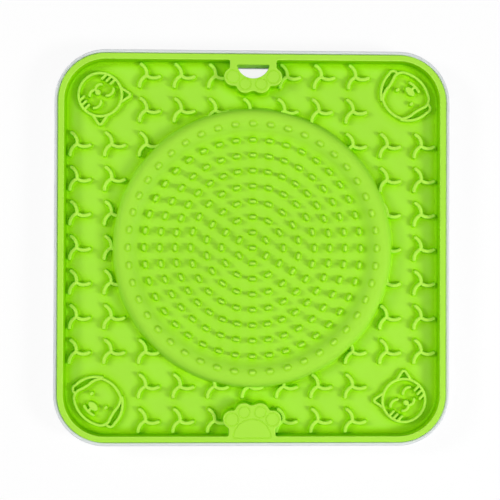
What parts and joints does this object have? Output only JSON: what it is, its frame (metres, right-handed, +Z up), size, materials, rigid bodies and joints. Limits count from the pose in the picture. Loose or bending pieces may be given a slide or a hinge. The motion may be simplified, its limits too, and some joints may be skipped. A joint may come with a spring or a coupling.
{
  "type": "lick mat",
  "caption": "Square silicone lick mat with a nubbed bowl, raised ribs and a rim, lying in a shallow tray on rubber feet, with a D-shaped hang hole.",
  "frame": {"origin": "on the table, under the middle of the tray", "axes": "+X to the right, +Y towards the hang hole at the rear, +Z up, out of the mat's face"},
  "size_m": [0.2042, 0.2042, 0.0141],
  "materials": {
    "tray_plastic": "satin white polypropylene",
    "mat_silicone": "semi-matte lime green silicone",
    "foot_rubber": "matte pale grey rubber"
  },
  "bodies": {
    "tray": {"base_tray": "tray_plastic", "foot_front_left": "foot_rubber", "foot_front_right": "foot_rubber", "foot_rear_left": "foot_rubber", "foot_rear_right": "foot_rubber"},
    "mat": {"lick_mat": "mat_silicone"}
  },
  "joints": [
    {"name": "mat_lift", "type": "slide", "parent": "tray", "child": "mat", "axis": [0, 0, 1], "range_m": [0, 0.03]}
  ]
}
